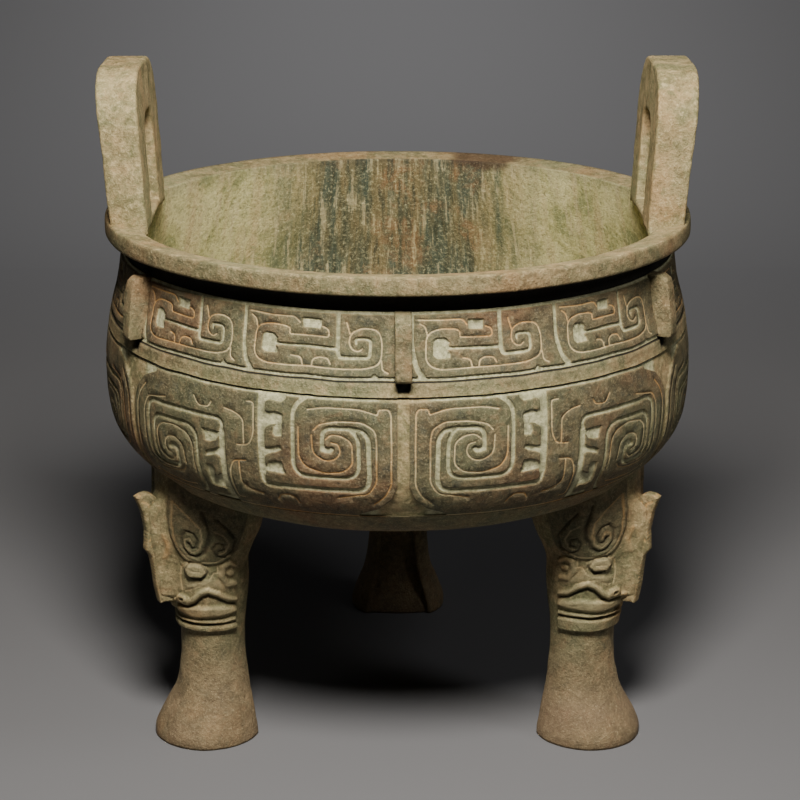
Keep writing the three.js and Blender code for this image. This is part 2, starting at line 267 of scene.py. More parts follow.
def ornament_mesh(size, relief, levels):
    """A flat mesh over a rectangle whose edges follow the levels of a relief's fields.

    size is (width, low, high); relief(points) gives {name: field}; levels lists (name, level).
    Returns points, triangles and the fields' values at the points."""
    width, low, high = size
    xs = np.linspace(0, width, int(width / GRID) + 1)
    ys = np.linspace(low, high, int((high - low) / GRID) + 1)
    samples = np.stack(np.meshgrid(xs, ys), -1).reshape(-1, 2)
    fields = {k: v.reshape(len(ys), len(xs)) for k, v in relief(samples).items()}
    fields["ground"] = blurred(fields["ground"], ROUNDING / GRID)
    points, edges = [], []
    columns = np.linspace(0, width, round(width / DEGREE) + 1)
    rows = np.linspace(low, high, round((high - low) / ROW_SPACING) + 1)
    for x in columns:
        points += [(x, y) for y in rows]
    for name, level in levels:
        for chain, closed in contours(fields[name], xs, ys, level):
            if len(chain) < SHORTEST_CONTOUR:
                continue
            line = thinned(chain, closed, CONTOUR_STRAY, CONTOUR_STEP)
            first = len(points)
            points += [tuple(p) for p in line]
            edges += [(first + i, first + i + 1) for i in range(len(line) - 1)]
    border = [(0, low), (width, low), (width, high), (0, high)]
    first = len(points)
    points += border
    edges += [(first + i, first + (i + 1) % 4) for i in range(4)]
    made = delaunay_2d_cdt([Vector(p) for p in points], edges, [], 1, WELD)
    points = np.array([tuple(p) for p in made[0]])
    values = {k: between_samples(v, xs, ys, points) for k, v in fields.items()}
    return points, [tuple(f) for f in made[2]], values


# --- Ornament ---------------------------------------------------------------------------------
# Flat drawings over one sector, in (degrees from its mould line, height). Ground is sunken
# between the bands; fine lines are incised along the middle of the bands.
LOWER_SUM = BAND_LOW + 245.2  # a point and the same point turned half round add up to this height


def turned_round(path):
    return [(SECTOR - p[0], LOWER_SUM - p[1], *p[2:]) for p in path]


COIL_GROUND = [
    ([(25.85, 250), (25.85, 215), (25.85, 200)], 2, (4.9, 4.7)),
    ([(25.85, 202), (25.85, 193), (6.0, 193), (6.0, 229.4), (14.4, 229.4),
      (14.4, 217)], 9, (3.1, 2.9)),
    ([(16.6, 247), (19.8, 240), (19.8, 200.4), (7.8, 200.4), (7.8, 224),
      (9.6, 230)], 9, (2.9, 2.5)),
    ([(14.3, 217.2), (13.0, 216.4), (12.6, 217.6)], 1, (4.0, 3.2)),
]
HOOK_GROUND = [
    [(21.4, 247), (21.2, 243.4), (22.0, 241.2), (23.4, 241.4), (24.5, 241.9), (25.4, 240.4),
     (25.6, 236.6), (26, 247)],
    [(25.9, 236.4), (24.4, 234.4), (23.2, 235.2), (21.8, 234.2), (21.8, 229.6), (23.0, 228.8),
     (24.0, 228.2),
     (25.0, 226), (25.9, 223.6)],
    [(21.9, 228.2), (22.7, 228.2), (23.4, 226.6), (23.5, 223.8), (23.1, 222), (21.9, 222.5)],
    [(25.9, 215.4), (24.4, 214.5), (22.1, 216.6), (22.0, 214.6), (22.9, 213.1), (24.2, 212),
     (25.9, 209)],
    [(25.9, 202.4), (24.8, 203.4), (24.4, 206), (23.1, 207.4), (22.0, 207.4), (21.7, 203.6),
     (21.3, 200.8),
     (23.3, 201), (25.9, 201.4)],
]
STRIP_GROUND = [(-0.9, 248), (-0.9, 197), (-2.0, 188), (-4.4, 181), (-8.2, 176.4), (-8.2, 174.9)]
COIL_LINES = [
    [(15.9, 227.8), (14.9, 231.2), (11.7, 233.5), (7.2, 233.5), (4.9, 229.5), (4.6, 223),
     (4.7, 199), (6.2, 191.8),
     (11.7, 188.3)],
    [(4.5, 238.2), (4.3, 240.8), (2.6, 241.2), (2.1, 238), (2.1, 198), (3.2, 191), (5.2, 185.2)],
    [(18.7, 229), (18.7, 211.4), (17.4, 205.8), (14, 203.2), (10.6, 204.2), (8.9, 209),
     (8.9, 221.6), (10.6, 225.4),
     (12.6, 226.2), (13.7, 223)],
    [(17, 238.8), (14.2, 240.6), (8, 240.6), (4.6, 238)],
    [(16.3, 225), (16.1, 214.4), (14, 210.4), (12, 211.4), (10.9, 216), (11.4, 220.8),
     (12.6, 221.4)],
    [(23.4, 184.4), (22.8, 187.4), (20.4, 188), (19.3, 182.8)],
    [(28.8, 239.5), (27.3, 239.7), (27.3, 221.9), (28.3, 215.1), (30.8, 214.2)],
    [(29.4, 214.7), (29.4, 229.4), (31.4, 232.7), (33.6, 233.5)],
]
CREATURE_GROUND = [
    ([(15.9, 292), (15.9, 267.6), (21.9, 267.6), (21.9, 277.4), (19.0, 277.4),
      (19.2, 274.8)], 3.0, (2.9, 1.8)),
    ([(5.8, 272.3), (9.9, 272.1), (15.4, 271.8)], 1, (1.9, 2.4)),
    ([(-0.75, 292), (-0.7, 272), (0.1, 262), (1.2, 258)], 9, (2.8, 3.6)),
]
CREATURE_AREAS = [
    [(3.3, 276.4), (3.9, 277.6), (5.4, 277.4), (6.2, 275.2), (5.8, 273.8), (6.5, 272.6),
     (5.4, 271.2), (6.2, 269.8),
     (6.2, 267.4), (3.9, 267.2), (3.2, 269)],
    [(9.8, 287), (9.9, 282.1), (12.6, 281.8), (12.7, 287)],
    [(22.4, 258), (22.8, 259.2), (23.3, 258)],
]
CREATURE_LINES = [
    [(12.7, 283.6), (14.2, 282.2), (14.3, 277.8), (8.0, 277.9), (8.2, 281.2), (7.2, 282.4),
     (4.6, 282.8),
     (2.6, 281.0), (1.9, 278), (1.8, 267), (2.6, 263.6), (4.2, 261.9), (14, 261.9), (21, 262.1),
     (23.4, 264),
     (24.1, 268), (24.1, 276), (23.4, 281.6), (21.8, 283.1), (19.8, 283), (18.2, 280.4),
     (17.9, 275), (18.6, 271.8),
     (19.7, 270.9), (20.4, 272.4)],
    [(0.4, 288), (4.5, 287.5), (8.7, 287.6), (9.5, 284.4)],
    [(0.7, 286), (1.7, 284.2), (2.1, 279.5)],
    [(24.1, 266.5), (24.2, 261.4), (25.2, 260)],
    [(17.5, 286.4), (18.1, 280.4)],
    [(8.4, 267.1), (9.8, 266.5), (10.1, 262.2)],
    [(11.4, 262.2), (11.5, 265.6), (12.5, 267.2), (14.2, 266.9), (14.7, 264)],
]
CUT_RADIUS = 3  # of the fine lines' corners
# Heights of the line along the lower band's foot, and of the sunken rings and the creases that
# border the plain band.
EDGE_LINE, LOW_RING, LOW_CREASE, HIGH_CREASE, HIGH_RING = 175.3, 245.3, 246.4, 255.1, 256.7
# Starts of a sector's two creatures, with how much wider than the first drawing each is.
CREATURES = {"even": ((2.3, 0.0), (30.6, 0.0)), "odd": ((2.3, 0.4), (30.1, 2.0))}
WAVER = 0.55  # millimetres that a line cut by hand strays, and how often it does
WAVER_RATE = 0.05
# A recess under each flange's lower end; it is also painted near-black as painted shadow of the
# flange.
NOTCH = [(-1.6, 258), (1.6, 258), (1.5, 255.4), (1.0, 249.2), (-1.0, 249.2), (-1.5, 255.4)]
NOTCH_DEPTH = 2.2


def wavering(points, seed):
    """Flat points pushed about a little, as lines cut freehand in a clay mould are."""
    noise.seed_set(1)  # noise_vector draws its offsets from this seed
    moved = [noise.noise_vector(Vector((*p * WAVER_RATE, seed))) for p in points]
    return points + WAVER * np.array([(m.x, m.y) for m in moved])


def nearest(points, shapes):
    return np.min(np.stack([shape(points) for shape in shapes]), 0)


def as_lines(paths, radius, width):
    drawn = [rounded(path, radius, width) for path in paths]
    return [lambda p, d=d: line_distance(p, d) for d in drawn]


def flat(outline):
    return [(a * DEGREE, z) for a, z in outline]


def lower_relief(points):
    """Distances to the ground and to the fine lines of the lower band's sector."""
    height = points[:, 1]
    across = np.minimum(points[:, 0], SECTOR * DEGREE - points[:, 0])
    points = wavering(points, 3.0)
    strip = STRIP_GROUND + [(-a, z) for a, z in STRIP_GROUND[::-1]]
    shapes, cuts = [], []
    for turn in (list, turned_round):
        shapes += [lambda p, d=rounded(turn(path), radius, width): line_distance(p, d)
                   for path, radius, width in COIL_GROUND]
        shapes += [lambda p, o=flat(turn(outline)): area_distance(p, o) - 0.5
                   for outline in [*HOOK_GROUND, strip]]
        cuts += as_lines([turn(path) for path in COIL_LINES], CUT_RADIUS, 0)
    shapes.append(lambda p: np.abs(p[:, 1] - LOW_RING) - 0.9)
    return {
        "ground": np.maximum(nearest(points, shapes), 175.6 - height),
        "line": np.minimum(nearest(points, cuts), np.abs(points[:, 1] - EDGE_LINE)),
        "notch": np.full(len(points), FAR),
        "crease": np.abs(points[:, 1] - LOW_CREASE),
        "silt": 1 - 0.22 * smoothstep(16, 10, across),
        "plain": 0.85 * (height > 246.8),
    }


def upper_relief(points, creatures):
    """The same for the upper band's sector: two creatures that face one way."""
    border = points
    points = wavering(points, 8.0)
    shapes, lines = [], []
    for start, wider in creatures:
        stretch = lambda a: start + a + wider * float(smoothstep(5, 13, a))
        moved = lambda path: [(stretch(p[0]), *p[1:]) for p in path]
        for path, radius, width in CREATURE_GROUND:
            shapes.append(lambda p, d=rounded(moved(path), radius, width): line_distance(p, d))
        for outline in CREATURE_AREAS:
            shapes.append(lambda p, o=flat(moved(outline)): area_distance(p, o) - 0.4)
        lines += as_lines([moved(path) for path in CREATURE_LINES], CUT_RADIUS, 0)
    mould_line = SECTOR * DEGREE
    edge = np.minimum(border[:, 0], mould_line - border[:, 0])
    shapes.append(lambda p: np.abs(p[:, 1] - HIGH_RING) - 1.2)
    ground = np.minimum(nearest(points, shapes), np.maximum(edge - 4.4, 256.4 - border[:, 1]))
    ground = np.minimum(ground, 290.2 - border[:, 1])
    notches = [area_distance(border, flat([(a + k * SECTOR, z) for a, z in NOTCH])) for k in (0, 1)]
    plain = np.where(border[:, 1] < 248.6, 0.85, 0.3) * (border[:, 1] < 255.2)
    return {
        "ground": ground,
        "line": nearest(points, lines),
        "notch": np.minimum(*notches),
        "crease": np.abs(points[:, 1] - HIGH_CREASE),
        "silt": np.ones(len(points)),
        "plain": plain,
    }


# Levels of the fields between which relief_height has its slopes.
LEVELS = [
    ("ground", 0.6), ("ground", 0.15), ("ground", -0.3), ("line", 0.6), ("line", 0.25),
    ("crease", 0.65), ("crease", 0.25), ("plain", 0.6), ("plain", 0.15), ("notch", 0.3),
    ("notch", -0.5),
]


def relief_height(fields, depth, line_depth):
    """Height above the bands' surface, in millimetres, and the masks for the patina and for painted
    shade.
    """
    sunk = smoothstep(0.15, -0.3, fields["ground"])
    shoulder = smoothstep(1.0, 0.1, fields["ground"])
    incised = smoothstep(0.6, 0.22, fields["line"]) * smoothstep(0.15, 0.5, fields["ground"])
    notch = smoothstep(0.3, -0.5, fields["notch"])
    crease = smoothstep(0.65, 0.25, fields["crease"])
    height = -depth * (sunk + 0.12 * shoulder * (1 - sunk)) - NOTCH_DEPTH * notch
    height -= line_depth * (incised + 2 * crease)
    # Painted shade: near-black under each flange's lower end, in the creases that border the plain
    # band, and along the edges of the sunken ground.
    corner = 0.5 * smoothstep(0.35, 0.0, np.abs(fields["ground"] + 0.1))
    dirt = np.maximum(np.maximum(notch, crease), corner * smoothstep(0.8, 1.0, fields["silt"]))
    ground = np.maximum(sunk * fields["silt"], fields["plain"])
    return height, {"ground": ground, "line": 0.85 * incised * (1 - crease), "dirt": dirt}


# --- Meshes -----------------------------------------------------------------------------------
# What the patina reads from each point: sunken ground, incised line, the bowl's inner wall, and a
# shade-and-dirt mask. That mask is mostly painted shade: near-black in the deepest corners, under
# the rim's lip and under the flanges. It is partly a real dark line along the rim's inner edge.
MASKS = ("ground", "line", "inside", "dirt")


class Surface:
    """Points, faces and patina masks that several patches add to."""

    def __init__(self):
        self.points, self.faces, self.masks = [], [], []
        self.count = 0

    def add(self, points, faces, **masks):
        points = np.asarray(points, float)
        self.points.append(points)
        self.faces += [tuple(i + self.count for i in face) for face in faces]
        columns = [np.broadcast_to(masks.get(k, 0.0), len(points)) for k in MASKS]
        self.masks.append(np.stack(columns, 1))
        self.count += len(points)

    def add_grid(self, grid, closed=False, **masks):
        """A grid of points as quads; closed joins its last column to its first."""
        rows, columns = grid.shape[:2]
        across = columns if closed else columns - 1
        faces = []
        for r in range(rows - 1):
            for c in range(across):
                a, b = r * columns + c, r * columns + (c + 1) % columns
                faces.append((a, b, b + columns, a + columns))
        flat_masks = {k: np.broadcast_to(v, (rows, columns)).ravel() for k, v in masks.items()}
        self.add(grid.reshape(-1, 3), faces, **flat_masks)

    def object(self, name, weld=WELD):
        """One Blender object, in metres, of everything added, kept within the frame's box."""
        low, high = (np.array(tuple(corner)) * 1000 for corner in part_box(NODE))
        points, masks = np.clip(np.vstack(self.points), low, high), np.vstack(self.masks)
        mesh = bpy.data.meshes.new(name)
        mesh.from_pydata((points / 1000).tolist(), [], self.faces)
        for k, kind in enumerate(MASKS):
            attribute = mesh.attributes.new(kind, "FLOAT", "POINT")
            attribute.data.foreach_set("value", masks[:, k].astype(np.float32))
        made = bpy.data.objects.new(name, mesh)
        bpy.context.scene.collection.objects.link(made)
        sheet = bmesh.new()
        sheet.from_mesh(mesh)
        bmesh.ops.remove_doubles(sheet, verts=sheet.verts, dist=weld / 1000)
        bmesh.ops.recalc_face_normals(sheet, faces=sheet.faces)
        sheet.to_mesh(mesh)
        sheet.free()
        mesh.polygons.foreach_set("use_smooth", [True] * len(mesh.polygons))
        return made


def around(angle, radius, height):
    """Points at angles from the front, distances from the axis and heights."""
    a = np.radians(angle)
    height = np.broadcast_to(height, np.shape(a))
    return np.stack([radius * np.sin(a), -radius * np.cos(a), height], -1)


def unevenness(points, scale, seed):
    """Noise of about -1 to 1 at each point, for a feature size in millimetres."""
    return np.array([noise.noise(Vector(p / scale) + Vector((seed, 0, 0))) for p in points])


def shaken(points, scale, seeds):
    """Such noise in each of three directions, from a seed for each."""
    return np.stack([unevenness(points, scale, seed) for seed in seeds], 1)


def revolved(profile, columns=FULL_TURN):
    profile = np.asarray(profile, float)
    angles = np.arange(columns) * 360 / columns
    return np.stack([around(angles, r, z) for r, z in profile])


def add_band(surface, reliefs, low, high, settings, mirrored):
    """One band of ornament, drawn over a sector (or two unlike ones) and repeated round it."""
    size = (SECTOR * DEGREE, low, high)
    for first, relief in enumerate(reliefs):
        points, faces, fields = ornament_mesh(size, relief, LEVELS)
        depths = settings.relief_depth * 1000, settings.line_depth * 1000
        height, masks = relief_height(fields, *depths)
        for k in range(first, 6, len(reliefs)):
            across = points[:, 0] / DEGREE
            angle = k * SECTOR + (SECTOR - across if mirrored and k % 2 else across)
            radius = belly_radius(points[:, 1]) + height
            angle = angle + math.degrees(settings.ornament_turn)
            surface.add(around(angle, radius, points[:, 1]), faces, **masks)


LIP_DIRT = 0.4  # along the rim's inner edge


def build_bowl(settings):
    surface = Surface()
    upper = [lambda points, c=CREATURES[kind]: upper_relief(points, c) for kind in ("even", "odd")]
    add_band(surface, upper, BAND_BORDER, BAND_HIGH, settings, False)
    add_band(surface, [lower_relief], BAND_LOW, BAND_BORDER, settings, True)
    surface.add_grid(revolved(smooth_through(UNDERSIDE, 24)), closed=True, ground=0.25)
    # The neck under the rim's lip is painted near-black all round: painted shade of the lip's
    # overhang.
    surface.add_grid(revolved(smooth_through(NECK[::-1], 10)), closed=True, ground=0.3, dirt=1.0)
    edge = [NECK[0], *smooth_through(RIM_EDGE[::-1], 10), RIM_TOP[-1]]
    surface.add_grid(revolved(edge), closed=True, ground=0.45)
    top = [*RIM_TOP[:3], *smooth_through(RIM_TOP[2:], 6)[1:]]
    inside = np.array([1.0] * 2 + [0.0] * (len(top) - 2))[:, None]
    masks = {"ground": 0.75 * (1 - inside), "inside": inside, "dirt": LIP_DIRT * inside}
    surface.add_grid(revolved(top), closed=True, **masks)
    wall = smooth_through(CAVITY, 36)
    last = (np.arange(len(wall)) == len(wall) - 1)[:, None]
    surface.add_grid(revolved(wall), closed=True, inside=1.0, dirt=LIP_DIRT * last)
    for points in surface.points:
        bulge = settings.unevenness * 1000
        radial = points[:, :2] / np.maximum(np.linalg.norm(points[:, :2], axis=1), 1e-6)[:, None]
        push = bulge * (unevenness(points, 55, 1) * 0.8 + unevenness(points, 8, 5) * 0.25 - 0.3)
        points[:, :2] += radial * push[:, None]
        points[:, 2] += bulge * 0.5 * unevenness(points, 40, 9)
    return surface.object("bowl", weld=0.05)


FLANGE = [
    (172.4, 256.4), (180.2, 256.4), (181.2, 258), (180.4, 270), (178.4, 285), (176.8, 290),
    (173.4, 292.4), (164.4, 292.4), (168.4, 272),
]


def build_flange(angle, settings):
    """A short upright rib over a mould line, rounded along its outer edge."""
    rib = plate([FLANGE], 9.0, 0.7, 2.0, ground=0.25)
    for points in rib.points:
        points += shaken(points + angle, 7, (51, 52, 53)) * 0.2
    rib.points = [turned(p, angle + math.degrees(settings.ornament_turn)) for p in rib.points]
    return rib


def turned(points, angle):
    """Points of a radial plane drawing (out, across, height) turned to an angle from the front."""
    a = math.radians(angle)
    out, across, height = points.T
    x = out * math.sin(a) + across * math.cos(a)
    y = -out * math.cos(a) + across * math.sin(a)
    return np.stack([x, y, height], 1)


def outline_points(outline, step):
    """Points along a closed outline, at most a step apart."""
    ring = []
    for (x0, y0), (x1, y1) in zip(outline, outline[1:] + outline[:1]):
        steps = max(1, math.ceil(math.hypot(x1 - x0, y1 - y0) / step))
        ring += [(x0 + (x1 - x0) * i / steps, y0 + (y1 - y0) * i / steps) for i in range(steps)]
    return np.array(ring)


def plate(outlines, thickness, bevel, step, **masks):
    """A plate of an outline in (out, height) and of its holes, with worn edges, as points
    (out, across, height). Outlines run anticlockwise and holes clockwise."""
    surface = Surface()
    half = thickness / 2
    turns = np.radians([-90, -60, -30, 0])
    profile = [(bevel * (1 - math.cos(t)), -half + bevel + bevel * math.sin(t)) for t in turns]
    profile += [(inset, -across) for inset, across in profile[::-1]]
    caps = []
    for outline in outlines:
        ring = outline_points(outline, step)
        tangent = np.roll(ring, -1, 0) - np.roll(ring, 1, 0)
        normal = np.stack([tangent[:, 1], -tangent[:, 0]], 1)
        normal /= np.linalg.norm(normal, axis=1)[:, None]
        rows = [(ring - normal * inset, across) for inset, across in profile]
        side = np.array([np.insert(at, 1, across, axis=1) for at, across in rows])
        surface.add_grid(side, closed=True, **masks)
        caps.append(rows[0][0])
    low, high = caps[0].min(0) + step, caps[0].max(0)
    xs, ys = (np.arange(low[k], high[k], step) for k in (0, 1))
    points, edges = [Vector((x, y)) for x in xs for y in ys], []
    for cap in caps:
        first = len(points)
        points += [Vector(p) for p in cap]
        edges += [(first + i, first + (i + 1) % len(cap)) for i in range(len(cap))]
    made = delaunay_2d_cdt(points, edges, [], 1, 1e-4)
    flat_points = np.array([tuple(p) for p in made[0]])
    faces = np.array([tuple(f) for f in made[2]])
    middles = flat_points[faces].mean(1)
    for hole in caps[1:]:
        faces = faces[area_distance(middles, [tuple(p) for p in hole]) > 0]
        middles = flat_points[faces].mean(1)
    for across in (-half, half):
        cap = np.insert(flat_points, 1, across, axis=1)
        surface.add(cap, [tuple(f) for f in faces.tolist()], **masks)
    return surface


# --- Handles -----------------------------------------------------------------------------------
HANDLE = {"half": 51.0, "root": 303.6, "top": 401.0, "corner": 32.0}
HOLE = {"half": 20.5, "root": 313.6, "top": 371.4, "corner": 14.0}
HANDLE_THICKNESS = 21.4
HANDLE_SEAT, HANDLE_RISE = 313.5, 87.6
# Distance of a handle's inner and outer faces from the vessel's axis, at the rim and at its top.
HANDLE_FACES = ((145.9, 167.2), (150.6, 174.6))


def arch(half, root, top, corner):
    """An upright rectangle with round upper corners, anticlockwise, as (across, height)."""
    right = [
        (half - corner + corner * math.cos(t), top - corner + corner * math.sin(t))
        for t in np.linspace(0, math.pi / 2, 10)
    ]
    return [(-half, root), (half, root), *right, *[(-y, z) for y, z in right[::-1]]]


def build_handle(side, settings):
    """An upright slab, square in section with worn edges, round at its shoulders, pierced."""
    slab = plate([arch(**HANDLE), arch(**HOLE)[::-1]], HANDLE_THICKNESS, 1.6, 2.0, ground=0.8)
    moved = []
    for points in slab.points:
        y, across, z = points.T
        share = across / HANDLE_THICKNESS + 0.5
        lean = (z - HANDLE_SEAT) / HANDLE_RISE
        (near0, far0), (near1, far1) = HANDLE_FACES
        near, far = near0 + (near1 - near0) * lean, far0 + (far1 - far0) * lean
        x = near + (far - near) * share
        wall = 161.5 - np.clip((z - HANDLE["root"]) * 2.6, 0, 40)  # its root stays inside the wall
        x = np.maximum(x, np.sqrt(np.maximum(wall**2 - y**2, 0)))
        at = np.stack([x, y, z], 1)
        at += shaken(at, 16, (11, 12, 13)) * settings.unevenness * 1000
        at += shaken(at, 5, (14, 15, 16)) * settings.unevenness * 400
        moved.append(at * (side, side, 1))
    slab.points = moved
    return slab.object("handle_right" if side > 0 else "handle_left")


# --- Legs --------------------------------------------------------------------------------------
LEG_DEGREE = math.radians(27.0)  # millimetres to a degree round a leg, for flat drawings of it
LEG_BACK = 135.0
# The mask on one side of the nose, in (degrees from it, height, width): lines raised by so much
# with edges so soft, then sunken ones.
MASK_RAISED = [
    ([(-106, 73.6, 3.8), (106, 73.6, 3.8)], 2.8, 1.2),  # collar
    ([(-106, 78.2, 2.2), (106, 78.2, 2.2)], 2.0, 1.0),
    ([(10, 85, 5), (34, 84.6, 8), (70, 85.6, 8), (96, 85, 5), (104, 84.5, 3)], 2.3, 2.4),  # jaw
    ([(14, 91.4, 3.4), (30, 90.6, 3.6), (42, 94, 3.4), (54, 99.4, 3.4), (64, 101.2, 3.4),
      (76, 98.6, 3.2),
      (90, 94, 3), (104, 92, 2.6)], 2.2, 1.3),  # upper lip
    ([(24, 93.6, 6.2), (27, 93.4, 6.2)], 3.0, 1.6),  # nostril
    ([(38, 104, 5), (70, 106, 7), (90, 102, 5)], 0.8, 4.0),  # cheek
    ([(45, 114.6, 8.8), (57, 114.6, 8.8)], 3.2, 1.3),  # eye
    ([(33, 117, 1.6), (44, 120.6, 1.8), (58, 120.2, 1.8), (68, 114, 1.6)], 0.6, 0.9),  # brow
    ([(102, 103.6, 3.4), (90, 104, 3.8), (83, 110, 4), (85, 117, 4), (94, 119.6, 3.6),
      (103, 116.4, 3)], 2.0, 1.2),
    ([(95, 111, 4.4), (97, 111, 4.4)], 1.6, 1.2),  # ear
    ([(12, 120, 2), (17, 127, 2.2), (14, 134, 2)], 1.0, 1.0),
]
MASK_SUNKEN = [
    ([(12, 88.6, 1.4), (30, 87.6, 1.6), (42, 90.4, 1.8), (54, 95.6, 1.8), (64, 97.4, 1.8),
      (76, 94.8, 1.8),
      (90, 90.4, 1.6), (104, 88.6, 1.4)], 1.3),  # mouth
    ([(36.5, 114.4, 1.4), (43, 108.7, 1.4), (58, 108.5, 1.4), (66, 114.2, 1.4), (58, 120.2, 1.1),
      (44, 120.3, 1.1),
      (36.5, 114.4, 1.4)], 0.9),  # round the eye
    ([(-106, 76.2, 1.0), (106, 76.2, 1.0)], 0.8),
    ([(56, 160, 1.6), (60, 154, 1.8), (65, 146, 2.4), (66, 136, 2.6), (62, 128.6, 2.6),
      (54, 124.8, 2.2),
      (44, 125.6, 1.8), (36.5, 130.4, 1.6), (35.5, 137, 1.6), (41, 142.2, 1.6), (49, 142, 1.8),
      (54.6, 137.4, 1.8),
      (53, 131.8, 1.6), (47.4, 130.6, 1.6), (44.6, 134, 2.2)], 1.5),  # scroll
    ([(72, 158, 1.6), (84, 152, 1.8), (95, 144, 1.9), (95, 132, 1.9), (86, 125.6, 1.9),
      (76, 127, 1.8),
      (71.4, 133, 1.8), (75, 138.6, 1.6), (82, 138.2, 1.6), (84, 133.4, 1.6),
      (79.6, 131.6, 2)], 1.3),  # hook
    ([(25, 93.6, 1.7), (26.4, 93.6, 1.7)], 1.8),  # nostril's hole
]
SHIELD = [
    (19, 178), (19, 146), (21, 136), (27, 127.4), (36, 121.8), (50, 119.4), (66, 119.2),
    (82, 120.6), (94, 124.6), (102, 132), (104, 178),
]
MASK_LINES = [
    [(25, 156), (24.5, 142), (27, 133), (33, 126.6), (44, 121.6), (58, 120.8), (76, 122),
     (92, 127)],
    [(28, 156), (44, 153), (56, 147), (59.5, 138), (57, 131), (49, 127.8), (41, 131), (40, 136),
     (45.6, 138.4),
     (49, 135)],
    [(70, 148), (80, 146), (88, 139), (86, 131), (79, 128.6)],
    [(46, 114.6), (56.5, 114.6)],
    [(27, 100), (28, 110), (31, 116), (44, 119.6), (60, 118.6), (67, 111)],
    [(68, 108), (74, 112.6), (80, 112), (78, 118)],
    [(32, 99.6), (42, 101.4), (54, 104), (66, 102.4), (80, 100)],
]
NOSE = [
    (140, 89.5), (157, 89.5), (162.4, 90.4), (165.2, 90.0), (167.0, 100), (168.4, 112),
    (169.8, 120.6),
    (173.0, 125.6), (172.2, 137), (174.2, 149), (178.0, 158.8), (175, 160.2), (170.4, 160.6),
    (166.5, 158.6),
    (162, 152.6), (157, 147.6), (150, 144), (140, 143),
]
NOSE_LINES = [
    [(174.6, 156), (171.4, 154.6), (168.4, 149), (167.6, 141), (169, 134.6), (171, 131)],
    [(168, 155), (165, 149), (163.4, 140), (165.6, 131.6), (169.6, 127.4)],
    [(167.4, 121), (163.6, 118.6), (162.6, 112), (165.4, 107), (165.4, 100)],
]
COMB_PITCH = 2.1  # of the fine lines across the nose's front edge


LEG_CURVE = smooth_through(LEG_ROWS, 400)
UNDERSIDE_CURVE = smooth_through(UNDERSIDE[::-1], 400)


def mask_relief(angle, height, lift):
    """Height of the mask's relief above a leg's skin, with the masks for the patina and for painted
    shade.
    """
    at = np.stack([np.abs(angle), height - lift * smoothstep(72, 80, height)], 1)
    at = wavering(at * (LEG_DEGREE, 1), 21.0)
    drawn = lambda path: [(a * LEG_DEGREE, z, w) for a, z, w in path]
    shield = area_distance(at, [(a * LEG_DEGREE, z) for a, z in SHIELD])
    plateau = smoothstep(0.9, -0.7, shield)
    up = 1.5 * plateau
    ridges = np.zeros(len(at))
    for path, rise, soft in MASK_RAISED:
        bump = smoothstep(soft * 0.5, -soft * 0.7, line_distance(at, drawn(path)))
        up = np.maximum(up, rise * bump)
        ridges = np.maximum(ridges, bump)
    # Painted shade: a dark line round the shield's edge, and the whole shield darkened as in the
    # belly's shadow.
    rim = smoothstep(0.9, 0.1, np.abs(shield - 0.5))
    dirt = np.maximum(0.4 * rim, 0.42 * plateau)
    for path, depth in MASK_SUNKEN:
        dent = smoothstep(0.5, -0.7, line_distance(at, drawn(path)))
        up = up - depth * dent
        # Painted shade in each sunken line.
        dirt = np.maximum(dirt, 0.75 * dent)
    cuts = [[(a, z, 0) for a, z in path] for path in MASK_LINES]
    lines = np.min([line_distance(at, drawn(path)) for path in cuts], 0)
    incised = smoothstep(0.75, 0.1, lines)
    fade = smoothstep(108, 103, np.abs(angle))
    near_nose = smoothstep(90, 96, height) * smoothstep(158, 148, height)
    beside = np.maximum(np.abs(angle) * LEG_DEGREE - 3.0, 0)
    saddle = 9.0 * np.exp(-beside / 2.8) * near_nose
    edge = smoothstep(1.6, 0.3, np.abs(shield - 0.2)) * 0.5
    worn = np.maximum(np.maximum(ridges, edge), 0.8 * plateau)
    up = (up - 0.4 * incised) * fade + saddle
    return up, incised * fade, dirt * fade, worn * fade, ridges * fade


CHANNEL_LIP = 2.8


def channel_section(half, deep):
    """One side of the channel down a leg's back, as (across, depth) from its corner inwards."""
    foot = half - CHANNEL_LIP
    return [
        (half, 0), (half - 0.5, -0.5), (foot + 0.6, -0.4), (foot, 0.2),
        (foot - 0.9, deep * 0.9), (foot - 2.2, deep), (half * 0.4, deep - 1.2), (0, deep - 1.6),
    ]


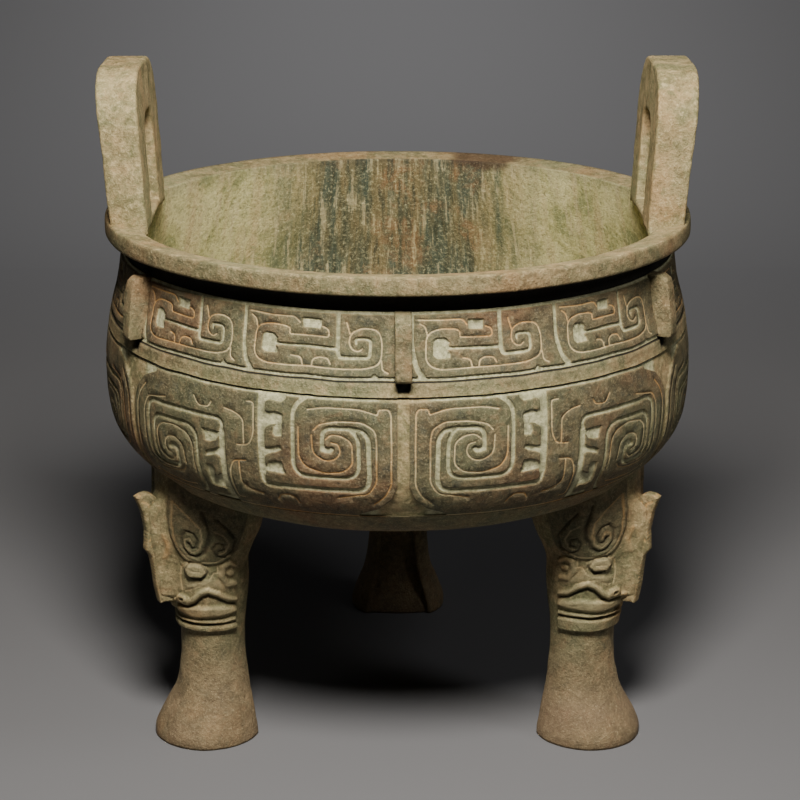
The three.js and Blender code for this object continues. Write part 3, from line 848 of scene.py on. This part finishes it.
def build_leg(name, angle, lift, settings):
    """A hoofed leg: round in front with a mask, and with a channel down its back."""
    step = 0.75
    heights = np.concatenate([np.arange(0, 71, 1.5), np.arange(71, 171, step)])
    angles = np.linspace(-LEG_BACK, LEG_BACK, int(2 * LEG_BACK * LEG_DEGREE / step))
    shift, radius = (np.interp(heights, LEG_CURVE[:, 0], LEG_CURVE[:, k])[:, None] for k in (1, 2))
    a, z = np.meshgrid(angles, heights)
    relief = mask_relief(a.ravel(), z.ravel(), lift)
    up, incised, dirt, worn, ridges = (field.reshape(a.shape) for field in relief)
    reach, turn = radius + up, np.radians(a)
    grid = np.stack([LEG_RADIUS + shift + reach * np.cos(turn), reach * np.sin(turn), z], -1)
    back = []
    for row, height in zip(grid, heights):
        x, y = row[-1, :2]
        deep = 0.6 + 5.6 * float(smoothstep(0, 30, height))
        side = [(x + d, across, height) for across, d in channel_section(y, deep)]
        back.append(side + [(px, -py, h) for px, py, h in side[-2::-1]])
    back = np.array(back)
    for skin in (grid, back):  # the top follows the bowl's underside, a little inside its wall
        reach = np.hypot(skin[-1, :, 0], skin[-1, :, 1])
        roof = np.interp(reach, UNDERSIDE_CURVE[:, 0], UNDERSIDE_CURVE[:, 1]) + 1.6
        stretch = smoothstep(105, 171, heights)[:, None] * (roof - 171)[None, :]
        skin[..., 2] += stretch
    surface = Surface()
    masked = smoothstep(72, 84, z) * smoothstep(168, 150, z)
    ground = 0.36 - masked * (0.25 * worn - 0.26)
    line = np.maximum(0.9 * incised, 0.4 * ridges * masked)
    surface.add_grid(grid, line=line, ground=ground, dirt=dirt)
    surface.add_grid(back, ground=0.4)
    ring = np.vstack([grid[0], back[0, 1:-1]])
    count = len(ring)
    fan = [((i + 1) % count, i, count) for i in range(count)]
    surface.add(np.vstack([ring, ring.mean(0)]), fan, ground=0.4)
    add_nose(surface)
    for points in surface.points:
        wear = shaken(points, 12, (31, 37, 43)) * 0.8 + shaken(points, 4, (34, 40, 46)) * 0.25
        wear[:, 2] *= smoothstep(0.5, 6, points[:, 2])
        points += wear * settings.unevenness * 1000
    surface.points = [turned(p, angle) for p in surface.points]
    return surface.object("leg_" + name)


def add_nose(surface):
    """The nose's plate, with curls incised on its sides and fine lines across its front edge."""
    nose = plate([NOSE], 7.5, 1.3, 0.7)
    for points, masks in zip(nose.points, nose.masks):
        at = points[:, [0, 2]]
        curls = np.min([line_distance(at, [(x, y, 0) for x, y in path]) for path in NOSE_LINES], 0)
        incised = smoothstep(0.8, 0.15, curls) * (np.abs(points[:, 1]) > 3.7)
        front = smoothstep(161, 163, points[:, 0]) * (np.abs(points[:, 1]) < 3.3)
        comb = smoothstep(0.3, 0.9, np.cos(points[:, 2] * 2 * math.pi / COMB_PITCH)) * front
        points[:, 1] *= 1 - 0.12 * smoothstep(166, 176, points[:, 0])
        points[:, 0] -= 0.35 * comb
        points[:, 1] -= np.sign(points[:, 1]) * 0.35 * incised
        masks[:, MASKS.index("line")] = 0.85 * np.maximum(incised, 0.7 * comb)
        masks[:, MASKS.index("ground")] = 0.55
    surface.add(np.vstack(nose.points), nose.faces)
    surface.masks[-1] = np.vstack(nose.masks)


# --- Materials -----------------------------------------------------------------------------------
def rgba(code):
    """Linear colour from an sRGB hex code."""
    srgb = [int(code[i : i + 2], 16) / 255 for i in (1, 3, 5)]
    return tuple(c / 12.92 if c <= 0.04045 else ((c + 0.055) / 1.055) ** 2.4 for c in srgb) + (1.0,)


def add_node(tree, kind, inputs=None, **fields):
    """A shader node with its fields set, and its inputs linked or given values."""
    node = tree.nodes.new(kind)
    for field, value in fields.items():
        setattr(node, field, value)
    for key, value in (inputs or {}).items():
        if isinstance(value, bpy.types.NodeSocket):
            tree.links.new(value, node.inputs[key])
        else:
            node.inputs[key].default_value = value
    return node


def noise_value(tree, where, size, detail=5.0, rough=0.6, distortion=0.0):
    """Noise with blotches of about a size in millimetres."""
    keys = ("Vector", "Scale", "Detail", "Roughness", "Distortion")
    inputs = dict(zip(keys, (where, 1000 / size, detail, rough, distortion)))
    return add_node(tree, "ShaderNodeTexNoise", inputs).outputs["Fac"]


def between(tree, value, low, high, out_low=0.0, out_high=1.0):
    keys = ("Value", "From Min", "From Max", "To Min", "To Max")
    inputs = dict(zip(keys, (value, low, high, out_low, out_high)))
    return add_node(tree, "ShaderNodeMapRange", inputs).outputs["Result"]


def mixed(tree, share, first, second):
    inputs = {0: share, 6: first, 7: second}  # the mix node's factor and its two colours
    return add_node(tree, "ShaderNodeMix", inputs, data_type="RGBA").outputs[2]


def stained(tree, colour, stains):
    """The colour under stains: each grows from none to a share as a value goes from low to high."""
    for value, low, high, share, code in stains:
        colour = mixed(tree, between(tree, value, low, high, 0.0, share), colour, rgba(code))
    return colour


def math_node(tree, operation, first, second):
    return add_node(tree, "ShaderNodeMath", {0: first, 1: second}, operation=operation).outputs[0]


def attribute(tree, name):
    return add_node(tree, "ShaderNodeAttribute", attribute_name=name).outputs["Fac"]


def cast_bronze():
    """Old cast bronze under an even earthy patina: worn brown bands, pale green-grey ground in what
    is sunken, ochre dust in the fine lines, and green and rust stains in the bowl. Near-black
    painted shade goes wherever the shade mask asks for it."""
    material = bpy.data.materials.new("cast_bronze_patina")
    material.use_nodes = True
    tree = material.node_tree
    tree.nodes.clear()
    where = add_node(tree, "ShaderNodeTexCoord").outputs["Object"]
    ground, line, inside, dirt = (attribute(tree, name) for name in MASKS)

    cloud = noise_value(tree, where, 62.5, 6.0, 0.6)
    blotch = noise_value(tree, where, 13.333, 5.0, 0.7, 0.3)
    patch = noise_value(tree, where, 8.3333, 5.0, 0.7, 0.4)
    mottle = noise_value(tree, where, 3.8462, 5.0, 0.75)
    speck = noise_value(tree, where, 1.25, 3.0, 0.8)

    # Handled bands look brown-black, with green and reddish clouds and fine pale and dark flecks.
    band = mixed(tree, between(tree, blotch, 0.38, 0.62), rgba("#4d4532"), rgba("#6f6349"))
    band = stained(tree, band, [
        (cloud, 0.46, 0.6, 0.6, "#5a5f45"), (cloud, 0.45, 0.36, 0.5, "#75553c"),
        (patch, 0.54, 0.64, 0.3, "#86694a"), (patch, 0.46, 0.38, 0.45, "#3f443b"),
        (mottle, 0.54, 0.7, 0.5, "#94845f"), (mottle, 0.47, 0.34, 0.5, "#2c261b"),
    ])

    # Rims, handles and legs look drier and paler: an earthy crust with ochre and green in it.
    crust = mixed(tree, between(tree, blotch, 0.4, 0.6), rgba("#7d7550"), rgba("#a3926a"))
    crust = stained(tree, crust, [
        (cloud, 0.52, 0.64, 0.5, "#828a62"), (cloud, 0.46, 0.36, 0.5, "#a8845a"),
        (patch, 0.54, 0.64, 0.35, "#a3855f"), (patch, 0.46, 0.38, 0.55, "#63653f"),
        (mottle, 0.53, 0.68, 0.55, "#cbb98e"), (mottle, 0.48, 0.34, 0.5, "#51472e"),
    ])

    # The sunken ground looks filled with pale green-grey silt, which lifts the drawing.
    silt = mixed(tree, between(tree, mottle, 0.42, 0.6), rgba("#8f8e6c"), rgba("#b9b590"))
    crust = mixed(tree, between(tree, ground, 0.85, 1.0), crust, silt)

    colour = mixed(tree, ground, band, crust)
    # Ochre dust makes each fine line show as a thin bright thread.
    dust = mixed(tree, between(tree, cloud, 0.44, 0.56), rgba("#c2985f"), rgba("#c9b78c"))
    kept = math_node(tree, "MULTIPLY", line, between(tree, blotch, 0.35, 0.6, 0.6, 1.0))
    colour = mixed(tree, kept, colour, dust)
    colour = mixed(tree, inside, colour, stained_inside(tree, where, mottle))
    colour = mixed(tree, rim_stain(tree, where, blotch), colour, rgba("#4b3626"))
    # The hooves look rubbed and purplish, and specks and dirt keep every colour from lying flat.
    up = add_node(tree, "ShaderNodeSeparateXYZ", {"Vector": where}).outputs["Z"]
    hoof = between(tree, cloud, 0.4, 0.6, 0.25, 0.7)
    hoof = math_node(tree, "MULTIPLY", between(tree, up, 0.075, 0.02), hoof)
    colour = mixed(tree, hoof, colour, rgba("#7c634e"))
    # The hooves look rubbed and purplish, and specks keep every colour from lying flat. Last comes
    # near-black painted shade: in the neck, under the flanges, in creases and groove edges, and in
    # the legs' dents and shields. A real dark line along the rim's inner edge is painted with it.
    colour = stained(tree, colour, [
        (speck, 0.54, 0.72, 0.3, "#cfc09a"), (speck, 0.46, 0.3, 0.35, "#2f2819"),
    ])
    colour = mixed(tree, math_node(tree, "MULTIPLY", dirt, 0.95), colour, rgba("#0e0c09"))

    coarse, fine = math_node(tree, "MULTIPLY", mottle, 1.4), math_node(tree, "MULTIPLY", speck, 0.6)
    grit = {"Height": math_node(tree, "ADD", coarse, fine), "Strength": 0.85, "Distance": 0.001}
    bump = add_node(tree, "ShaderNodeBump", grit).outputs["Normal"]
    shader = add_node(
        tree,
        "ShaderNodeBsdfPrincipled",
        {
            "Base Color": colour,
            "Metallic": between(tree, ground, 0.0, 1.0, 0.3, 0.1),
            "Roughness": between(tree, blotch, 0.3, 0.7, 0.6, 0.85),
            "Specular IOR Level": 0.3,
            "Normal": bump,
        },
    )
    add_node(tree, "ShaderNodeOutputMaterial", {"Surface": shader.outputs["BSDF"]})
    return material


def rim_stain(tree, where, blotch):
    """A dark reddish stain with a torn edge, on the rim behind the bowl."""
    tall = add_node(tree, "ShaderNodeVectorMath", {0: where, 1: (1, 1, 3)}, operation="MULTIPLY")
    place = {0: tall.outputs["Vector"], 1: (0.062, 0.162, 0.936)}
    away = add_node(tree, "ShaderNodeVectorMath", place, operation="DISTANCE")
    torn = math_node(tree, "ADD", away.outputs["Value"], math_node(tree, "MULTIPLY", blotch, 0.03))
    return between(tree, torn, 0.044, 0.034, 0.0, 0.8)


WALL_RADIUS = 0.165
STREAK_SHARE = 0.132


def stained_inside(tree, where, mottle):
    """The bowl's wall: pale yellow-green, with dark teal and rust run down it behind."""
    parts = add_node(tree, "ShaderNodeSeparateXYZ", {"Vector": where})
    turn = math_node(tree, "ARCTAN2", parts.outputs["X"], parts.outputs["Y"])
    # Metres round the wall and a small share of the height, so that noise runs down in streaks.
    along = math_node(tree, "MULTIPLY", turn, WALL_RADIUS)
    fall = math_node(tree, "MULTIPLY", parts.outputs["Z"], STREAK_SHARE)
    run = add_node(tree, "ShaderNodeCombineXYZ", {"X": along, "Z": fall}).outputs[0]
    streak = noise_value(tree, run, 4.8529, 4.0, 0.65)
    column = noise_value(tree, run, 18.333, 4.0, 0.6)
    patch = noise_value(tree, where, 29.412, 6.0, 0.7, 0.4)
    grain = noise_value(tree, where, 2.381, 4.0, 0.8)
    stain = mixed(tree, between(tree, patch, 0.4, 0.6), rgba("#98955f"), rgba("#c6be8c"))
    stain = stained(tree, stain, [
        (column, 0.5, 0.64, 0.6, "#b59c76"), (mottle, 0.47, 0.36, 0.5, "#68704a"),
        (patch, 0.47, 0.38, 0.6, "#7f8660"),
    ])
    off = math_node(tree, "ABSOLUTE", turn, 0.0)
    frayed = math_node(tree, "ADD", off, math_node(tree, "MULTIPLY", column, 0.7))
    behind = between(tree, frayed, 1.0, 0.68)
    dark = mixed(tree, between(tree, column, 0.44, 0.54), rgba("#3c483f"), rgba("#6b5f41"))
    dark = stained(tree, dark, [
        (patch, 0.52, 0.62, 0.65, "#7a5233"), (streak, 0.49, 0.4, 0.85, "#262c25"),
    ])
    stain = mixed(tree, math_node(tree, "MULTIPLY", behind, 0.92), stain, dark)
    stain = stained(tree, stain, [
        (streak, 0.55, 0.62, 0.6, "#b8ab84"), (grain, 0.53, 0.7, 0.5, "#d6d0a2"),
    ])
    return mixed(tree, between(tree, grain, 0.47, 0.32, 0.0, 0.5), stain, rgba("#3d3d27"))


# --- Studio --------------------------------------------------------------------------------------
def build_stage(settings):
    """A plain pale sweep, soft light from above in front, and the camera."""
    front, bend, curve, top, half = -6.0, 1.1, 0.9, 5.0, 6.0  # of the paper sweep, in metres
    sweep = [(front, 0.0), (bend, 0.0)]
    for t in np.linspace(0, math.pi / 2, 14):
        sweep.append((bend + curve * math.sin(t), curve * (1 - math.cos(t))))
    sweep.append((bend + curve, top))
    below = 0.0002  # keeps the paper just under the feet
    points = [(x, y, z - below) for x in (-half, half) for y, z in sweep]
    count = len(sweep)
    faces = [(i, i + count, i + count + 1, i + 1) for i in range(count - 1)]
    mesh = bpy.data.meshes.new("floor")
    mesh.from_pydata(points, [], faces)
    mesh.polygons.foreach_set("use_smooth", [True] * len(mesh.polygons))
    floor = bpy.data.objects.new("floor", mesh)
    bpy.context.scene.collection.objects.link(floor)
    paper = bpy.data.materials.new("studio_paper")
    paper.use_nodes = True
    shader = paper.node_tree.nodes["Principled BSDF"]
    shader.inputs["Base Color"].default_value = rgba("#626264")
    shader.inputs["Roughness"].default_value = 0.9
    mesh.materials.append(paper)

    def lamp(name, place, aim, width, power, colour="#ffffff", spread=180):
        data = bpy.data.lights.new(name, "AREA")
        data.shape, data.size = "DISK", width
        data.energy = power * settings.light_power
        data.color = rgba(colour)[:3]
        data.spread = math.radians(spread)
        lit = bpy.data.objects.new(name, data)
        lit.location = place
        lit.rotation_euler = (Vector(aim) - Vector(place)).to_track_quat("-Z", "Y").to_euler()
        bpy.context.scene.collection.objects.link(lit)

    middle = (0, 0, 0.22)
    lamp("key_light", (0.0, -0.68, 0.98), middle, 0.3, 27, "#fffaf2")
    lamp("left_light", (-1.2, -0.6, 1.2), middle, 0.4, 0.6)
    lamp("right_light", (1.2, -0.6, 1.2), middle, 0.4, 4.2)
    lamp("backdrop_light", (0.0, 1.7, 2.2), (0, 1.7, 0), 0.5, 4.0, spread=60)
    world = bpy.data.worlds.new("studio")
    bpy.context.scene.world = world
    world.use_nodes = True
    sky = world.node_tree.nodes["Background"].inputs
    sky["Color"].default_value = rgba("#b0b0b0")
    sky["Strength"].default_value = 0.002

    data = bpy.data.cameras.new("camera")
    data.lens = 98.06
    data.sensor_width = 36.0
    camera = bpy.data.objects.new("camera", data)
    camera.location = (0.0015, -1.2908, 0.5975)
    camera.rotation_euler = (math.radians(72.504), 0, 0)
    bpy.context.scene.collection.objects.link(camera)
    bpy.context.scene.camera = camera


def finished(piece, material):
    piece.data.materials.append(material)
    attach(piece, "root")
    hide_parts(NODE)
    return piece


# --- Add-on --------------------------------------------------------------------------------------
class DingSettings(bpy.types.PropertyGroup):
    relief_depth: bpy.props.FloatProperty(
        name="Relief depth",
        description="How far the ornament's ground lies below its bands",
        default=0.0012,
        unit="LENGTH",
    )
    line_depth: bpy.props.FloatProperty(
        name="Line depth",
        description="Depth of the fine incised lines",
        default=0.0004,
        unit="LENGTH",
    )
    ornament_turn: bpy.props.FloatProperty(
        name="Ornament turn",
        description="How far the ornament sits off the handles' axis",
        default=math.radians(1.1),
        subtype="ANGLE",
        unit="ROTATION",
    )
    unevenness: bpy.props.FloatProperty(
        name="Unevenness",
        description="How far the cast surface strays from its form",
        default=0.0005,
        unit="LENGTH",
    )
    light_power: bpy.props.FloatProperty(
        name="Light power",
        description="Share of the studio lights' full power",
        default=1.0,
        subtype="FACTOR",
    )


def bronze():
    return bpy.data.materials.get("cast_bronze_patina") or cast_bronze()


class DING_OT_bowl(bpy.types.Operator):
    """Build the bowl with its rim, ornament and flanges"""

    bl_idname = "ding.bowl"
    bl_label = "Bowl"

    def execute(self, context):
        settings = context.scene.ding
        finished(build_bowl(settings), bronze())
        for k in range(6):
            finished(build_flange(k * SECTOR, settings).object(f"flange_{k + 1}"), bronze())
        return {"FINISHED"}


class DING_OT_handles(bpy.types.Operator):
    """Build the two upright handles"""

    bl_idname = "ding.handles"
    bl_label = "Handles"

    def execute(self, context):
        for side in (1, -1):
            finished(build_handle(side, context.scene.ding), bronze())
        return {"FINISHED"}


class DING_OT_legs(bpy.types.Operator):
    """Build the three hoofed legs with their masks"""

    bl_idname = "ding.legs"
    bl_label = "Legs"

    def execute(self, context):
        for name, (angle, lift) in LEGS.items():
            finished(build_leg(name, angle, lift, context.scene.ding), bronze())
        return {"FINISHED"}


class DING_OT_stage(bpy.types.Operator):
    """Set the studio: floor, lights and camera"""

    bl_idname = "ding.stage"
    bl_label = "Stage"

    def execute(self, context):
        build_stage(context.scene.ding)
        return {"FINISHED"}


class DING_PT_panel(bpy.types.Panel):
    bl_idname = "DING_PT_panel"
    bl_label = "Bronze ding"
    bl_space_type = "VIEW_3D"
    bl_region_type = "UI"
    bl_category = "Ding"

    def draw(self, context):
        for name in DingSettings.__annotations__:
            self.layout.prop(context.scene.ding, name)
        for operator in OPERATORS:
            self.layout.operator(operator.bl_idname)


OPERATORS = (DING_OT_bowl, DING_OT_handles, DING_OT_legs, DING_OT_stage)
CLASSES = (DingSettings, *OPERATORS, DING_PT_panel)


def register():
    for cls in CLASSES:
        bpy.utils.register_class(cls)
    bpy.types.Scene.ding = bpy.props.PointerProperty(type=DingSettings)


def unregister():
    del bpy.types.Scene.ding
    for cls in reversed(CLASSES):
        bpy.utils.unregister_class(cls)


def corners(bounds):
    return [list(corner) for corner in bounds]


def main():
    register()
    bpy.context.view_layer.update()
    bpy.ops.ding.bowl()
    bpy.ops.ding.handles()
    bpy.ops.ding.legs()
    bpy.ops.ding.stage()


if __name__ == "__main__":
    main()
